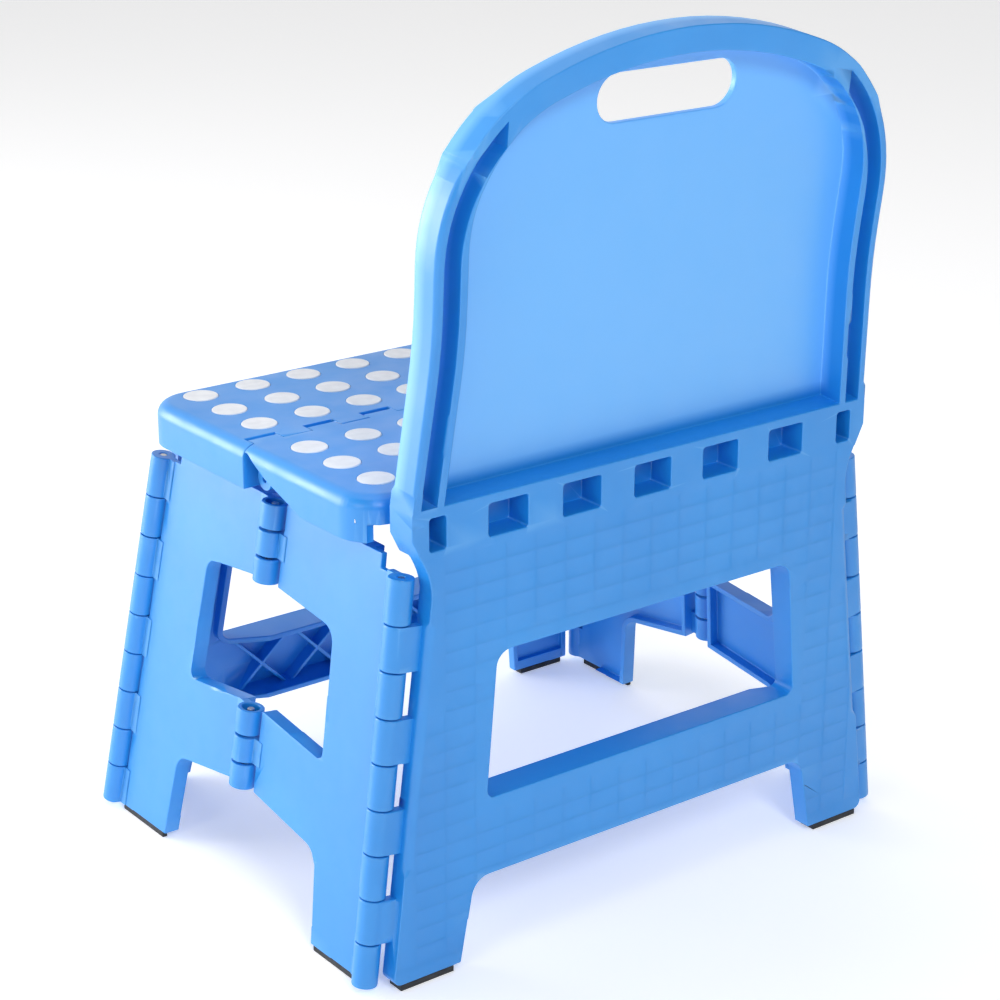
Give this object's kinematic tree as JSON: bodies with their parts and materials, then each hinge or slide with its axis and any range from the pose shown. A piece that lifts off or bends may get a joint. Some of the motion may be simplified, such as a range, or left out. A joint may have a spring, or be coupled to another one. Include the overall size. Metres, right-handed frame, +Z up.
{
  "type": "folding stool with backrest",
  "caption": "Plastic folding stool with a backrest: leg panels, a dotted split seat that hinges upwards and hinged side panels that fold inwards.",
  "frame": {"origin": "on the floor, under the middle of the stool's box", "axes": "+Z up, +Y towards the backrest, +X towards the sitter's left"},
  "size_m": [0.323, 0.2688, 0.4245],
  "materials": {
    "blue_plastic": "satin moulded",
    "grip_dot": "matte",
    "hinge_rod": "drawn",
    "foot_pad": "matte"
  },
  "bodies": {
    "rear_panel": {"backrest_panel": "blue_plastic", "rear_corner_rod_left": "hinge_rod", "rear_corner_rod_right": "hinge_rod", "seat_rear_rod": "hinge_rod", "rear_foot_pad_left": "foot_pad", "rear_foot_pad_right": "foot_pad"},
    "seat_rear": {"seat_rear_half": "blue_plastic", "seat_rear_dots": "grip_dot", "seat_middle_rod": "hinge_rod"},
    "seat_front": {"seat_front_half": "blue_plastic", "seat_front_dots": "grip_dot"},
    "front_panel": {"front_leg_panel": "blue_plastic", "front_corner_rod_left": "hinge_rod", "front_corner_rod_right": "hinge_rod", "seat_front_rod": "hinge_rod", "front_foot_pad_left": "foot_pad", "front_foot_pad_right": "foot_pad"},
    "side_left_rear": {"side_left_rear_half": "blue_plastic", "side_upper_rod_left": "hinge_rod", "side_lower_rod_left": "hinge_rod", "side_rear_foot_pad_left": "foot_pad"},
    "side_left_front": {"side_left_front_half": "blue_plastic", "side_front_foot_pad_left": "foot_pad"},
    "side_right_rear": {"side_right_rear_half": "blue_plastic", "side_upper_rod_right": "hinge_rod", "side_lower_rod_right": "hinge_rod", "side_rear_foot_pad_right": "foot_pad"},
    "side_right_front": {"side_right_front_half": "blue_plastic", "side_front_foot_pad_right": "foot_pad"}
  },
  "joints": [
    {"name": "seat_fold", "type": "hinge", "parent": "rear_panel", "child": "seat_rear", "pos_m": [0, 0.07719, 0.2146], "axis": [-1, 0, 0], "range_deg": [0, 84]},
    {"name": "seat_middle_hinge", "type": "hinge", "parent": "seat_rear", "child": "seat_front", "pos_m": [0, -0.00043, 0.2109], "axis": [1, 0, 0], "range_deg": [0, 161.4]},
    {"name": "front_panel_hinge", "type": "hinge", "parent": "seat_front", "child": "front_panel", "pos_m": [0, -0.09241, 0.2143], "axis": [-1, 0, 0], "range_deg": [0, 73]},
    {"name": "rear_corner_hinge_left", "type": "hinge", "parent": "rear_panel", "child": "side_left_rear", "pos_m": [0.1559, 0.10249, 0], "axis": [0.1184, 0, -0.993], "range_deg": [0, 70.8]},
    {"name": "front_corner_hinge_left", "type": "hinge", "parent": "front_panel", "child": "side_left_front", "pos_m": [0.1559, -0.12771, 0], "axis": [-0.1173, 0.1382, 0.9834], "range_deg": [0, 71]},
    {"name": "rear_corner_hinge_right", "type": "hinge", "parent": "rear_panel", "child": "side_right_rear", "pos_m": [-0.1559, 0.10249, 0], "axis": [0.1184, 0, 0.993], "range_deg": [0, 70.8]},
    {"name": "front_corner_hinge_right", "type": "hinge", "parent": "front_panel", "child": "side_right_front", "pos_m": [-0.1559, -0.12771, 0], "axis": [-0.1173, -0.1382, -0.9834], "range_deg": [0, 71]}
  ],
  "couplings": [
    {"joint": "seat_middle_hinge", "follows": "seat_fold", "ratio": 1.921},
    {"joint": "front_panel_hinge", "follows": "seat_fold", "ratio": 0.869},
    {"joint": "rear_corner_hinge_left", "follows": "seat_fold", "ratio": 0.842},
    {"joint": "front_corner_hinge_left", "follows": "seat_fold", "ratio": 0.845},
    {"joint": "rear_corner_hinge_right", "follows": "seat_fold", "ratio": 0.842},
    {"joint": "front_corner_hinge_right", "follows": "seat_fold", "ratio": 0.845}
  ]
}
